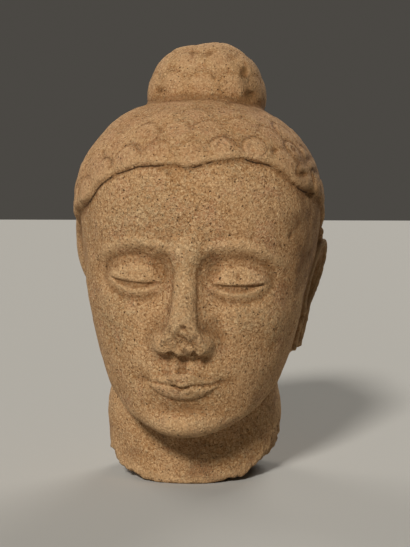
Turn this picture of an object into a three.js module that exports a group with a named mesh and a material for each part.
// Worn stucco head of a buddha: snail-curl hair, topknot, broken nose tip and broken neck.
// Millimetres, +Z up, the face looks along -Y; the head stands on the flat of its broken neck.
import * as THREE from 'three';

// Driving sizes
const HEIGHT = 291;             // lowest point of the neck to the top of the topknot
const SKULL_WIDTH = 160;        // across the temples, under the hair
const SKULL_FRONT = 95;         // from the line of the ears forward to the forehead
const SKULL_BACK = 92;          // from the line of the ears to the back of the skull
const CROWN_RISE = 73.5;        // widest level of the skull up to its crown
const NECK_WIDTH = 119;
const NECK_DEPTH = 100;
const KNOT_WIDTH = 80;
const KNOT_RISE = 38.3;         // middle of the topknot up to its top
const LEAN = 2;                 // degrees, to the head's own left
const HAIR_STEP = 1.9;          // how far the hair stands off the skin, in front
const HAIR_TILT = 9.5;          // how much higher its edge is on the head's own left side
const CURL_PITCH = 20;          // one curl to the next along a row
const ROW_PITCH = 16.5;
const CURL_RELIEF = 1.7;
const CURL_GROOVE = 1.3;
const EAR_STEP = 86.5;          // middle plane to the face of the whole ear, at its top
const STUMP_STEP = 87.3;        // the same for the worn mound that is left of the other ear
const NOSE_BREAK = 104;         // middle of the skull forward to the break at the tip of the nose

// Fineness of the surface
const FINE = 2.2;               // step of the grid over the face
const COARSE = 3.2;
const TRIANGLES = 9600;

// Places, from the middle of the flat underside
const AXIS_Y = 6;               // line of the ears, which the skull's depths are counted from
const WIDEST_Z = 178;
const PIVOT_Z = 45;             // the head leans about this level
const CHIN = { y: -84, z: 32 };
const KNOT = { x: 0.5, y: 8, z: WIDEST_Z + CROWN_RISE + 1 };
const KNOT_SKIRT = 12.5;        // how far below its middle the topknot still shows
const NECK = { x: -0.5, y: 8 };
const EAR = { y: 14, z: 120 };
const EYE = { x: 32, z: 138, half: 17 };
const EAR_FOOT = { whole: 88.5, stump: 125 };
const STUMP_RADII = { x: 27.3, y: 30, z: 45 };
const MOUTH = { half: 24, z: 72.3 };
const JAW_SLOPE = 0.42;
const EAR_LEAN = 0.18;

// The curves below are drawn for a head 291 high, and `unit` brings them to HEIGHT.
const unit = HEIGHT / 291;

/** A real size, or a set of them, on the drawing. */
function drawn(size) {
  if (typeof size === 'number') return size / unit;
  return Object.fromEntries(Object.entries(size).map(([key, value]) => [key, value / unit]));
}

const [axisY, widestZ, pivotZ, crownRise] = [AXIS_Y, WIDEST_Z, PIVOT_Z, CROWN_RISE].map(drawn);
const [chin, knotAt, neckAt, earAt, earFoot, stumpRadii, eye, mouth] = [
  CHIN, KNOT, NECK, EAR, EAR_FOOT, STUMP_RADII, EYE, MOUTH].map(drawn);
const [skullHalf, knotHalf, knotRise] = [SKULL_WIDTH / 2, KNOT_WIDTH / 2, KNOT_RISE].map(drawn);
const [knotSkirt, hairStep, hairTilt, curlPitch, rowPitch, curlRelief, curlGroove] = [
  KNOT_SKIRT, HAIR_STEP, HAIR_TILT, CURL_PITCH, ROW_PITCH, CURL_RELIEF, CURL_GROOVE].map(drawn);
const [earStep, stumpStep, noseBreak] = [EAR_STEP, STUMP_STEP, NOSE_BREAK].map(drawn);

const { sin, cos, exp, abs, sqrt, PI } = Math;
const clamp = THREE.MathUtils.clamp;

const length = (a, b, c = 0) => sqrt(a * a + b * b + c * c);

/** Smooth step from 0 to 1, `width` wide, centred where v is 0. */
function ramp(v, width) {
  const t = clamp(v / width + 0.5, 0, 1);
  return t * t * (3 - 2 * t);
}

function smax(a, b, k) {
  const h = Math.max(k - abs(a - b), 0) / k;
  return Math.max(a, b) + h * h * k * 0.25;
}

const smin = (a, b, k) => -smax(-a, -b, k);
const ridge = (v, width) => exp(-((v / width) ** 2));
const bump = (x, z, x0, z0, rx, rz) => exp(-(((x - x0) / rx) ** 2) - ((z - z0) / rz) ** 2);

/** Smooth curve through points; it ends level at the last one. */
function curve(xs, ys) {
  const n = xs.length;
  const d = xs.slice(1).map((x, i) => (ys[i + 1] - ys[i]) / (x - xs[i]));
  const m = xs.map((x, i) => {
    if (i === 0) return d[0];
    if (i === n - 1) return 0;
    return (d[i] * (x - xs[i - 1]) + d[i - 1] * (xs[i + 1] - x)) / (xs[i + 1] - xs[i - 1]);
  });
  return (at) => {
    const t = clamp(at, xs[0], xs[n - 1]);
    let i = 0;
    while (i < n - 2 && t >= xs[i + 1]) i++;
    const h = xs[i + 1] - xs[i];
    const s = (t - xs[i]) / h;
    const s2 = s * s;
    const s3 = s2 * s;
    return (2 * s3 - 3 * s2 + 1) * ys[i] + (s3 - 2 * s2 + s) * h * m[i]
      + (3 * s2 - 2 * s3) * ys[i + 1] + (s3 - s2) * h * m[i + 1];
  };
}

function ellipsoid(x, y, z, c, r) {
  return (length((x - c[0]) / r[0], (y - c[1]) / r[1], (z - c[2]) / r[2]) - 1) * Math.min(...r);
}

// Skull
const share = (whole, parts) => parts.map((p) => p * whole);
const halfWidth = curve([30, 40, 50, 65, 80, 100, 120, 145, widestZ],
  share(skullHalf, [0.3, 0.47, 0.6, 0.705, 0.775, 0.845, 0.9, 0.955, 1]));
const frontDepth = curve([32, 42, 60, 90, 120, 150, widestZ],
  share(drawn(SKULL_FRONT), [0.821, 0.905, 0.926, 0.958, 0.963, 0.989, 1]));
const backDepth = curve([32, 60, 90, 120, 150, widestZ],
  share(drawn(SKULL_BACK), [0.522, 0.565, 0.674, 0.848, 0.967, 1]));

function skull(x, y, z) {
  const front = y < axisY;
  const v = abs(front ? (axisY - y) / frontDepth(z) : (y - axisY) / backDepth(z));
  const n = front ? 2.55 : 2.15;
  const t = Math.max(z - widestZ, 0) / crownRise;
  const u = ((abs(x) / halfWidth(z)) ** 2.15 + t ** 2.15) ** (1 / 2.15);
  return ((u ** n + v ** n) ** (1 / n) - 1) * 78;
}

// Face
/** Height of the relief of the face over the skull, seen from the front. */
function faceRelief(side, z) {
  const x = abs(side);
  let r = -7 * bump(x, z, 32, 140, 20, 12.5) - 3.6 * bump(x, z, 15.5, 142, 6.5, 10)
    + 2.5 * bump(x, z, 42, 116, 21, 16) - 1.5 * bump(x, z, 66, 165, 10, 20)
    + 1.2 * bump(x, z, 0, 186, 38, 20) + 6 * bump(x, z, 0, 78, 27, 20)
    - 1.6 * bump(x, z, 27.5, 75, 6, 6) - 2.4 * bump(x, z, 0, 56.5, 16, 5.5) + 3.6 * bump(x, z, 0, 44, 19, 11);
  const brow = 150.5 + 9 * Math.max(1 - ((x - 29) / 27) ** 2, -0.6);
  r += 1.8 * ridge(z - brow, 4.2) * ramp(x - 9, 10) * ramp(56 - x, 14);

  const ball = Math.max(1 - ((x - eye.x) / 21) ** 2 - ((z - eye.z) / 13.5) ** 2, 0);
  const t = (x - eye.x) / eye.half;
  const bow = Math.max(1 - t * t, 0);
  const tilt = 0.035 * (x - eye.x);
  const upperLid = 136.3 - 1.4 * bow + tilt;
  const lowerLid = 136.3 - 6.2 * bow + tilt;
  const crease = 147.2 - 6 * t * t;
  const within = ramp(1 - abs(t), 0.24);
  r += 6.6 * ball ** 1.1 - 1.4 * ramp(upperLid - z, 1.5) * ramp(z - lowerLid, 1.8) * within
    + 0.9 * ramp(z - upperLid, 1.4) * ramp(crease - z, 6) * within
    + 0.5 * ridge(z - lowerLid + 1.1, 1.4) * within - 0.8 * ridge(z - crease, 1.8) * ramp(1.1 - abs(t), 0.5);

  const l = x / mouth.half;
  const q = clamp(l, 0, 1.2);
  const line = mouth.z - 1.2 * ridge(x, 4) + 0.7 * ridge(x - 9, 6) + 2.5 * q ** 2.5;
  const top = mouth.z + 7.2 + 1.1 * ridge(x - 5.5, 4) - 5.4 * q ** 1.6;
  const foot = mouth.z - 9 + 11 * q ** 2.1;
  const full = Math.max(1 - l * l, 0);
  const up = (z - line) / Math.max(top - line, 0.5);
  const down = (line - z) / Math.max(line - foot, 0.5);
  r += 2.7 * full ** 0.6 * (0.5 + 0.5 * clamp(1 - up, 0, 1)) * ramp(top - z, 2) * ramp(z - line, 0.9)
    + 3.3 * full ** 0.7 * Math.max(1 - ((down - 0.44) / 0.6) ** 2, 0) ** 0.7 * ramp(line - z, 0.9)
    - 1.8 * ridge(z - line, 1.3) * ramp(1.04 - l, 0.24)
    + (0.5 * ridge(x - 5, 2.2) - ridge(x, 2.8)) * ramp(z - 80, 4) * ramp(92 - z, 5);
  return r;
}

const noseLine = curve([96, 104, 120, 140, 154, 166], [-99.5, -99.5, -94.5, -88.5, -86, -84]);
const noseHalf = curve([96, 106, 125, 146, 160], [9.6, 9.2, 7.6, 6.8, 9.5]);

function nose(x, y, z) {
  const q = (noseLine(z) - y) * 0.95;
  const side = abs(x);
  const flare = 0.5 + 0.5 * ramp(z - 114, 20);
  let f = length(x, Math.max(q, 0)) - (noseHalf(z) + flare * Math.max(-q, 0));
  f = smax(smax(f, z - 163, 14), y + 70, 4);
  f = smin(f, ellipsoid(x, y, z, [0, -98.5, 101.5], [10.3, 10.5, 9.5]), 6);
  f = smin(f, ellipsoid(side, y, z, [11.8, -89.5, 98.6], [6.9, 10, 7.2]), 5);
  f = smax(f, 92.5 - z + 0.1 * (y + 95), 3);
  f = smax(f, -ellipsoid(side, y, z, [6.8, -96, 92], [3.4, 5.5, 3.4]), 1.5);
  return smax(f, -0.928 * (y + noseBreak) - 0.371 * (z - 107), 1);
}

// Neck, ears and topknot
const neckHalf = curve([0, 25, 45, 62, 80, 110],
  share(drawn(NECK_WIDTH) / 2, [0.924, 0.975, 1, 0.95, 0.933, 0.933]));
const neckDepth = curve([0, 25, 45, 62, 110], share(drawn(NECK_DEPTH) / 2, [0.98, 1, 1, 0.98, 1]));

function neck(x, y, z) {
  return smax((length((x - neckAt.x) / neckHalf(z), (y - neckAt.y) / neckDepth(z)) - 1) * 53, z - 125, 6);
}

function ear(x, y, z) {
  const b = z - earAt.z;
  const a = y - earAt.y - EAR_LEAN * b;
  const shell = (length((a + 4) / 21, (b - 16.5) / 25) - 1) * 21;
  const lobe = (length((a + 2) / 9.5, (b + 22) / 30) - 1) * 9.5;
  const outline = smin(shell, lobe, 6);
  let f;
  if (x > 0) {
    const relief = 1.6 * ridge(outline + 2.6, 2.2) - 6 * bump(a, b, 0, 11, 9, 12)
      + 0.9 * ridge(outline + 8.2, 2) * ramp(b, 10) - 1.2 * bump(a, b, -2, -16, 2.6, 11) - 1.5;
    f = smax(outline, x - (earStep - 0.225 * (162 - z) + 0.2 * a + relief), 1.5);
    f = smax(f, earFoot.whole - z + 0.12 * (y - earAt.y), 1);
  } else {
    const middle = [stumpRadii.x - stumpStep, earAt.y + 2, earAt.z + 40];
    f = ellipsoid(x, y, z, middle, Object.values(stumpRadii));
    f = smax(f, earFoot.stump - z, 1.5);
  }
  return smax(f, 60 - abs(x), 2);
}

function knot(x, y, z) {
  const u = (abs(x - knotAt.x) / knotHalf) ** 2.2 + (abs(y - knotAt.y) / knotHalf) ** 2.2
    + (abs(z - knotAt.z) / knotRise) ** 2.2;
  const top = knotAt.z + knotRise;
  const worn = 1.3 * bump(x, z, -7, top, 10, 12);
  return (u ** (1 / 2.2) - 1) * knotRise + worn - 0.9 * bump(x, z, 10, top, 12, 12);
}

// Hair
const hairLevel = curve([0, 14, 22, 28, 37.5, 43.5, 50, 62, 74, 84, 90, 96, 104, 112, 124, 145, 180],
  [206, 208.8, 208.3, 205.7, 199.2, 191.5, 187.2, 183.5, 177, 168, 158, 143, 115, 94, 82, 76, 74]);
const hairEdge = (angle) => hairLevel(abs(angle)) + hairTilt * sin(THREE.MathUtils.degToRad(angle));
const azimuth = (x, y) => THREE.MathUtils.radToDeg(Math.atan2(x, axisY - y));

/** Point of the skull in a direction (degrees from the front) and at a height. */
function onSkull(angle, z) {
  const a = THREE.MathUtils.degToRad(angle);
  let low = 0;
  let high = 130;
  for (let i = 0; i < 24; i++) {
    const r = (low + high) / 2;
    if (skull(r * sin(a), axisY - r * cos(a), z) < 0) low = r; else high = r;
  }
  return new THREE.Vector3(low * sin(a), axisY - low * cos(a), z);
}

/** Value of ys where the rising xs reach t. */
function interpolate(t, xs, ys) {
  let i = 1;
  while (i < xs.length - 1 && xs[i] < t) i++;
  const s = clamp((t - xs[i - 1]) / Math.max(xs[i] - xs[i - 1], 1e-9), 0, 1);
  return ys[i - 1] + s * (ys[i] - ys[i - 1]);
}

/** Middles of the curls, in rows that run alongside the edge of the hair. */
function curlRows() {
  const crown = widestZ + crownRise - 0.02;
  const meridians = [];
  for (let angle = -180; angle <= 180; angle += 2) {
    const edge = hairEdge(angle);
    const points = [];
    const run = [0];
    for (let i = 0; i <= 80; i++) {
      points.push(onSkull(angle, edge + (crown - edge) * (1 - (1 - i / 80) ** 2)));
      if (i) run.push(run[i - 1] + points[i].distanceTo(points[i - 1]));
    }
    meridians.push({ run, xs: points.map((p) => p.x), ys: points.map((p) => p.y), zs: points.map((p) => p.z) });
  }
  const curls = [];
  const crowded = (at) => curls.some((c) => length(...at.map((v, k) => v - c.at[k])) < 0.85 * rowPitch);
  for (let row = 0; ; row++) {
    const up = rowPitch * (row + 0.5);
    const free = meridians.map((m) => (up < m.run.at(-1) - knotHalf * 0.9 ? 1 : 0));
    if (!free.includes(1)) return curls;
    const line = meridians.map((m) => new THREE.Vector3(
      interpolate(up, m.run, m.xs), interpolate(up, m.run, m.ys), interpolate(up, m.run, m.zs)));
    const along = [0];
    for (let i = 1; i < line.length; i++) along.push(along[i - 1] + line[i].distanceTo(line[i - 1]));
    const loop = along.at(-1);
    const front = along[(along.length - 1) / 2];
    const count = Math.max(1, Math.round(loop / curlPitch));
    for (let i = 0; i < count; i++) {
      const at = (front + (i + (row % 2) / 2) * loop / count) % loop;
      if (interpolate(at, along, free) <= 0.5) continue;
      const middle = ['x', 'y', 'z'].map((axis) => interpolate(at, along, line.map((p) => p[axis])));
      if (!crowded(middle)) curls.push({ at: middle, row });
    }
  }
}

/** Middles of the lumps on the topknot, ring by ring. */
function knotCurls() {
  const rings = [[12, 12, 0], [38, 9, 0.5], [66, 5, 0], [90, 1, 0]];
  return rings.flatMap(([rise, count, turn]) => Array.from({ length: count }, (_, i) => {
    const a = 2 * PI * (i + turn) / count;
    const e = THREE.MathUtils.degToRad(rise);
    const r = knotHalf - 1;
    const at = [knotAt.x + r * cos(e) * sin(a), knotAt.y - r * cos(e) * cos(a), knotAt.z + knotRise * sin(e)];
    return { at, row: 0 };
  }));
}

const CURLS = curlRows();
const FIRST_ROW = CURLS.filter((c) => c.row === 0);
const KNOT_CURLS = knotCurls();

/** Distance up the surface from the edge of the hair; the curls of the first row hang over it. */
function hairDistance(x, y, z) {
  const a = azimuth(x, y);
  const slope = (hairEdge(a + 1) - hairEdge(a - 1)) / 2;
  let d = (z - hairEdge(a)) / length(1, slope / (length(x, y - axisY) * PI / 180 + 1));
  if (abs(d) < 14) {
    let near = Infinity;
    for (const { at } of FIRST_ROW) {
      near = Math.min(near, (x - at[0]) ** 2 + (y - at[1]) ** 2 + (z - at[2]) ** 2);
    }
    d += 2.4 * exp(-near / 81);
  }
  return d - 1;
}

/** Height of the hair above the skin, with the groove along its edge. */
function hairRelief(x, y, d) {
  const angle = azimuth(x, y);
  const side = ramp(abs(angle) - 52, 26);
  const sides = 0.9 * ramp(angle - 24, 20) + 1.9 * ramp(-45 - angle, 30);
  const step = hairStep + sides * ramp(140 - abs(angle), 60);
  return step * ramp(d - 0.8, 4 + 5 * side) - (0.6 - 0.3 * side) * ridge(d + 0.4, 1.8);
}

/** Domes of the curls and the grooves that arch over them. */
function reliefOf(p, up, curls) {
  let near = Infinity;
  let next = Infinity;
  let curl = null;
  for (const c of curls) {
    const d = length(p.x - c.at[0], p.y - c.at[1], p.z - c.at[2]);
    if (d < near) {
      next = near;
      near = d;
      curl = c;
    } else if (d < next) next = d;
  }
  const [cx, cy, cz] = curl.at;
  const rise = ((p.x - cx) * up.x + (p.y - cy) * up.y + (p.z - cz) * up.z) / Math.max(near, 1e-6);
  const r = near / (curlPitch * 0.475);
  const dome = sqrt(Math.max(1 - (r / 1.2) ** 2, 0));
  const arch = ridge(r - 0.92, 0.2) * ramp(rise - 0.05, 0.9) + 0.4 * ridge(next - near, 2.8);
  return { height: curlRelief * (dome - 0.4) - curlGroove * arch, row: curl.row };
}

// The whole body
const leanCos = cos(THREE.MathUtils.degToRad(LEAN));
const leanSin = sin(THREE.MathUtils.degToRad(LEAN));

/** Point in the head's own upright frame, before it leans. */
function upright(p) {
  const z = p.z - pivotZ;
  return new THREE.Vector3(leanCos * p.x - leanSin * z, p.y, leanSin * p.x + leanCos * z + pivotZ);
}

/** Slow unevenness of a surface that was worked by hand and is worn. */
function wobble(x, y, z) {
  return 0.45 * sin(0.13 * x + 1.3) * sin(0.11 * y + 0.07 * z + 0.4)
    + 0.35 * sin(0.17 * z + 0.05 * x + 2.1) * sin(0.15 * y - 0.09 * x + 0.8);
}

const breakRight = curve([22, 32, 42.5, 49.5, 52.5, 58, 64], [0, 1.9, 7, 10, 14, 18.5, 34]);
const breakLeft = curve([12, 22, 31, 37, 45, 49.5, 52.5, 54.5, 60], [0, 1.8, 3.4, 6, 11.6, 16.6, 24, 33, 39]);

/** Broken underside of the neck: flat in the middle, rough and rising at both sides. */
function breakBelow(x, y, z) {
  const wide = 1 - 0.12 * ramp(y - 5, 50);
  const rise = breakRight(-x * wide) + breakLeft(x * wide);
  const rough = 1.1 * sin(0.31 * x + 0.12 * y + 0.1 * z) * sin(0.23 * y - 0.1 * x + 0.17 * z + 1)
    + 0.6 * sin(0.71 * x + 0.2 * z + 2) * sin(0.53 * y + 0.31 * z);
  return 0.8 * (rise - z) + rough * clamp(rise / 4, 0, 1);
}

/** Below zero inside the head, above zero outside. */
function body(p) {
  const { x, y, z } = upright(p);
  let f = skull(x, y, z);
  if (abs(f) < 14) {
    const d = hairDistance(x, y, z);
    f -= faceRelief(x, z) * ramp(-y - 25, 30) + hairRelief(x, y, d) + wobble(x, y, z);
  }
  const jaw = chin.z + smin(JAW_SLOPE * (y - chin.y), 40 + 0.12 * (y + 5), 12);
  f = smax(f, (jaw - z) / length(1, 0.35), 12);
  f = smin(f, nose(x, y, z), 8);
  f = smin(f, neck(x, y, z), 4);
  f = smin(f, ear(x, y, z), x > 0 ? 2 : 6);
  f = smin(f, knot(x, y, z), 2);
  return smax(f, breakBelow(p.x, p.y, p.z), 1.6);
}

function slopeAt(p) {
  const g = new THREE.Vector3();
  for (const axis of ['x', 'y', 'z']) {
    const a = p.clone();
    const b = p.clone();
    a[axis] += 0.05;
    b[axis] -= 0.05;
    g[axis] = (body(a) - body(b)) / 0.1;
  }
  return g;
}

/** Grid lines through spans of [start, end, step]. */
function gridLines(...spans) {
  const lines = spans.flatMap(([from, to, step]) => {
    const n = Math.round((to - from) / step);
    return Array.from({ length: n }, (_, i) => from + (to - from) * i / n);
  });
  return [...lines, spans.at(-1)[1]];
}

// The twelve edges of a cell, by axis and by offsets along the other two axes
const STEPS = [[1, 0, 0], [0, 1, 0], [0, 0, 1]];
const offset = (axis, du, dw) => STEPS[0].map(
  (_, i) => du * STEPS[(axis + 1) % 3][i] + dw * STEPS[(axis + 2) % 3][i]);
const EDGES = [0, 1, 2].flatMap((axis) => [[0, 0], [0, 1], [1, 0], [1, 1]].map(([du, dw]) => {
  const from = offset(axis, du, dw);
  return { from, to: from.map((v, i) => v + STEPS[axis][i]) };
}));
const SIDES = [0, 1, 2].flatMap((axis) => [0, 1].map((side) => (
  EDGES.map((e, i) => i).filter((i) => EDGES[i].from[axis] === side && EDGES[i].to[axis] === side))));

/** Groups of the crossed edges of a cell, one for each sheet of surface that passes through it. */
function sheets(crossed, isInside) {
  const group = EDGES.map((_, i) => i);
  const root = (i) => (group[i] === i ? i : root(group[i]));
  for (const side of SIDES) {
    const here = side.filter((i) => crossed[i]);
    for (const i of here) {
      for (const j of here) {
        if (j <= i) continue;
        const shared = [EDGES[i].from, EDGES[i].to].find((c) => (
          [EDGES[j].from, EDGES[j].to].some((d) => d.every((v, n) => v === c[n]))));
        if (here.length === 2 || (shared && isInside(shared))) group[root(i)] = root(j);
      }
    }
  }
  return EDGES.map((_, i) => (crossed[i] ? root(i) : -1));
}

/** Closed surface of the body: one corner for each sheet in each cell that the surface crosses. */
function contour(xs, ys, zs) {
  const [nx, ny, nz] = [xs.length, ys.length, zs.length];
  const at = (i, j, k) => new THREE.Vector3(xs[i], ys[j], zs[k]);
  const index = (i, j, k) => (k * ny + j) * nx + i;
  const value = new Float64Array(nx * ny * nz);
  for (let k = 0; k < nz; k++) {
    for (let j = 0; j < ny; j++) {
      for (let i = 0; i < nx; i++) value[index(i, j, k)] = body(at(i, j, k));
    }
  }
  const corners = [];
  const cornerAt = new Map();
  for (let k = 0; k < nz - 1; k++) {
    for (let j = 0; j < ny - 1; j++) {
      for (let i = 0; i < nx - 1; i++) {
        const valueAt = ([a, b, c]) => value[index(i + a, j + b, k + c)];
        const crossed = EDGES.map((e) => (valueAt(e.from) < 0) !== (valueAt(e.to) < 0));
        if (!crossed.includes(true)) continue;
        const sheet = sheets(crossed, (c) => valueAt(c) < 0);
        for (const s of new Set(sheet)) {
          if (s < 0) continue;
          const middle = new THREE.Vector3();
          let count = 0;
          EDGES.forEach(({ from, to }, e) => {
            if (sheet[e] !== s) return;
            const [v, w] = [valueAt(from), valueAt(to)];
            const start = at(i + from[0], j + from[1], k + from[2]);
            middle.add(start.lerp(at(i + to[0], j + to[1], k + to[2]), v / (v - w)));
            cornerAt.set(index(i, j, k) * 12 + e, corners.length);
            count++;
          });
          corners.push(middle.divideScalar(count));
        }
      }
    }
  }
  const faces = [];
  for (let k = 1; k < nz - 1; k++) {
    for (let j = 1; j < ny - 1; j++) {
      for (let i = 1; i < nx - 1; i++) {
        const inside = value[index(i, j, k)] < 0;
        STEPS.forEach((step, axis) => {
          if ((value[index(i + step[0], j + step[1], k + step[2])] < 0) === inside) return;
          const corner = (du, dw) => {
            const [a, b, c] = offset(axis, du, dw);
            return cornerAt.get(index(i - a, j - b, k - c) * 12 + axis * 4 + du * 2 + dw);
          };
          const quad = [corner(1, 1), corner(0, 1), corner(0, 0), corner(1, 0)];
          if (!inside) quad.reverse();
          faces.push(quad);
        });
      }
    }
  }
  return { corners, faces };
}

/** Corners moved onto the surface itself. */
function settle(corners) {
  for (const p of corners) {
    for (let i = 0; i < 3; i++) {
      const g = slopeAt(p);
      p.addScaledVector(g, clamp(-body(p) / Math.max(g.lengthSq(), 1e-6), -2, 2));
    }
  }
}

/** Curls raised along the normals of the hair. */
function curl(corners) {
  for (const p of corners) {
    const q = upright(p);
    const onKnot = ramp(1.5 - knot(q.x, q.y, q.z), 1) * ramp(q.z - knotAt.z + knotSkirt, 4);
    const clearOfEar = ramp(ear(q.x, q.y, q.z) - 1.2, 1);
    const onHair = ramp(hairDistance(q.x, q.y, q.z) - 1.5, 2.5) * clearOfEar * (1 - onKnot);
    if (onHair < 0.01 && onKnot < 0.01) continue;
    const normal = slopeAt(p).normalize();
    const up = new THREE.Vector3(0, 0, 1).addScaledVector(normal, -normal.z).normalize();
    let r = 0;
    if (onHair >= 0.01) {
      const { height, row } = reliefOf(q, up, CURLS);
      const a = azimuth(q.x, q.y);
      const worn = row === 0 ? 0.75 : row === 1 ? 0.6 : 0.36;
      const left = worn + (0.95 - worn) * ramp(abs(a) - 86, 60) + 0.2 * ramp(a - 30, 20) * ramp(104 - a, 40);
      r += onHair * height * left;
    }
    if (onKnot >= 0.01) r += 0.45 * onKnot * reliefOf(q, up, KNOT_CURLS).height;
    p.addScaledVector(normal, r);
  }
}

/** Fewer, larger triangles where the surface is plain. */
function thin(corners, triangles, target) {
  const quadric = corners.map(() => new Float64Array(10));
  const around = corners.map(() => new Set());
  const stamp = new Int32Array(corners.length);
  const alive = triangles.map(() => true);
  let left = triangles.length;
  const e1 = new THREE.Vector3();
  const e2 = new THREE.Vector3();
  const normalOf = (a, b, c, out) => out.crossVectors(e1.subVectors(b, a), e2.subVectors(c, a));
  triangles.forEach((t, i) => {
    const n = normalOf(corners[t[0]], corners[t[1]], corners[t[2]], new THREE.Vector3());
    const area = n.length() / 2;
    n.normalize();
    const d = -n.dot(corners[t[0]]);
    const weight = area * (corners[t[0]].y < -62 && corners[t[0]].z < 160 ? 5 : 1);
    const plane = [
      n.x * n.x, n.x * n.y, n.x * n.z, n.x * d, n.y * n.y, n.y * n.z, n.y * d, n.z * n.z, n.z * d, d * d,
    ];
    for (const v of t) {
      around[v].add(i);
      plane.forEach((value, k) => { quadric[v][k] += weight * value; });
    }
  });
  const costOf = (q, p) => q[0] * p.x * p.x + 2 * q[1] * p.x * p.y + 2 * q[2] * p.x * p.z + 2 * q[3] * p.x
    + q[4] * p.y * p.y + 2 * q[5] * p.y * p.z + 2 * q[6] * p.y + q[7] * p.z * p.z + 2 * q[8] * p.z + q[9];
  const heap = [];
  const push = (item) => {
    let i = heap.push(item) - 1;
    while (i > 0) {
      const up = (i - 1) >> 1;
      if (heap[up].cost <= heap[i].cost) break;
      [heap[up], heap[i]] = [heap[i], heap[up]];
      i = up;
    }
  };
  const pop = () => {
    const top = heap[0];
    const last = heap.pop();
    if (heap.length) {
      heap[0] = last;
      let i = 0;
      for (;;) {
        let least = i;
        for (const j of [2 * i + 1, 2 * i + 2]) {
          if (j < heap.length && heap[j].cost < heap[least].cost) least = j;
        }
        if (least === i) break;
        [heap[least], heap[i]] = [heap[i], heap[least]];
        i = least;
      }
    }
    return top;
  };
  const both = new Float64Array(10);
  const m = new THREE.Matrix3();
  const offer = (a, b) => {
    for (let k = 0; k < 10; k++) both[k] = quadric[a][k] + quadric[b][k];
    const q = both;
    m.set(q[0], q[1], q[2], q[1], q[4], q[5], q[2], q[5], q[7]);
    const long = corners[a].distanceTo(corners[b]);
    const place = corners[a].clone().lerp(corners[b], 0.5);
    const det = m.determinant();
    if (abs(det) > 1e-4 * (q[0] + q[4] + q[7]) ** 3 / 27) {
      const best = new THREE.Vector3(-q[3], -q[6], -q[8]).applyMatrix3(m.invert());
      if (best.distanceTo(place) < 1.5 * long) place.copy(best);
    }
    push({ cost: costOf(q, place) + 1e-4 * long * long, a, b, place, stamps: stamp[a] + stamp[b] });
  };
  const neighbours = (v) => {
    const out = new Set();
    for (const i of around[v]) for (const w of triangles[i]) if (w !== v) out.add(w);
    return out;
  };
  const seen = new Set();
  for (const t of triangles) {
    for (let i = 0; i < 3; i++) {
      const [a, b] = [t[i], t[(i + 1) % 3]].sort((p, q) => p - q);
      const key = a * corners.length + b;
      if (seen.has(key)) continue;
      seen.add(key);
      offer(a, b);
    }
  }
  const before = new THREE.Vector3();
  const after = new THREE.Vector3();
  const keepsShape = (v, other, place) => {
    for (const i of around[v]) {
      const t = triangles[i];
      if (t.includes(other)) continue;
      const [a, b, c] = t.map((w) => corners[w]);
      normalOf(a, b, c, before).normalize();
      const [d, e, g] = t.map((w) => (w === v ? place : corners[w]));
      normalOf(d, e, g, after);
      const longest = Math.max(d.distanceTo(e), e.distanceTo(g), g.distanceTo(d));
      if (after.length() < 0.12 * longest * longest || after.normalize().dot(before) < 0.45) return false;
    }
    return true;
  };
  while (left > target && heap.length) {
    const { a, b, place, stamps } = pop();
    if (stamp[a] < 0 || stamp[b] < 0 || stamps !== stamp[a] + stamp[b]) continue;
    const near = neighbours(a);
    if (!near.has(b)) continue;
    const shared = [...neighbours(b)].filter((w) => near.has(w));
    if (shared.length !== 2 || shared.some((w) => around[w].size < 4)) continue;
    if (!keepsShape(a, b, place) || !keepsShape(b, a, place)) continue;
    for (const i of around[b]) {
      const t = triangles[i];
      if (t.includes(a)) {
        alive[i] = false;
        left--;
        for (const w of t) if (w !== b) around[w].delete(i);
      } else {
        t[t.indexOf(b)] = a;
        around[a].add(i);
      }
    }
    corners[a].copy(place);
    for (let k = 0; k < 10; k++) quadric[a][k] += quadric[b][k];
    stamp[a]++;
    stamp[b] = -1e9;
    for (const w of neighbours(a)) offer(a, w);
  }
  return triangles.filter((_, i) => alive[i]);
}

const fine = drawn(FINE);
const coarse = drawn(COARSE);
const faceHalf = skullHalf * 0.625;
const faceTop = widestZ + crownRise / 2;
const { corners, faces } = contour(
  gridLines([-Math.max(stumpStep, skullHalf) - 10, -faceHalf, coarse], [-faceHalf, faceHalf, fine],
    [faceHalf, Math.max(earStep, skullHalf) + 10, coarse]),
  gridLines([axisY - drawn(SKULL_FRONT) - 25, -55, fine], [-55, axisY + drawn(SKULL_BACK) + 10, coarse]),
  gridLines([-5, 50, coarse], [50, faceTop, fine], [faceTop, knotAt.z + knotRise + 6, coarse]),
);
settle(corners);
curl(corners);
const triangles = faces.flatMap(([a, b, c, d]) => (
  corners[a].distanceTo(corners[c]) < corners[b].distanceTo(corners[d])
    ? [[a, b, c], [a, c, d]] : [[a, b, d], [b, c, d]]));
const thinned = thin(corners, triangles, TRIANGLES);

const used = new Map();
const positions = [];
const indices = thinned.flat().map((v) => {
  if (!used.has(v)) {
    used.set(v, used.size);
    const p = corners[v];
    positions.push(p.x, p.y, p.z < 0.4 ? 0 : p.z);
  }
  return used.get(v);
});
const geometry = new THREE.BufferGeometry();
geometry.setAttribute('position', new THREE.Float32BufferAttribute(positions, 3));
geometry.setIndex(indices);
geometry.scale(unit, unit, unit);
geometry.computeVertexNormals();

const stucco = new THREE.MeshStandardMaterial({ color: '#a07b55', roughness: 0.93, metalness: 0 });
const head = new THREE.Mesh(geometry, stucco);
head.name = 'head';

const group = new THREE.Group();
group.name = 'buddha_head';
group.add(head);
export default group;
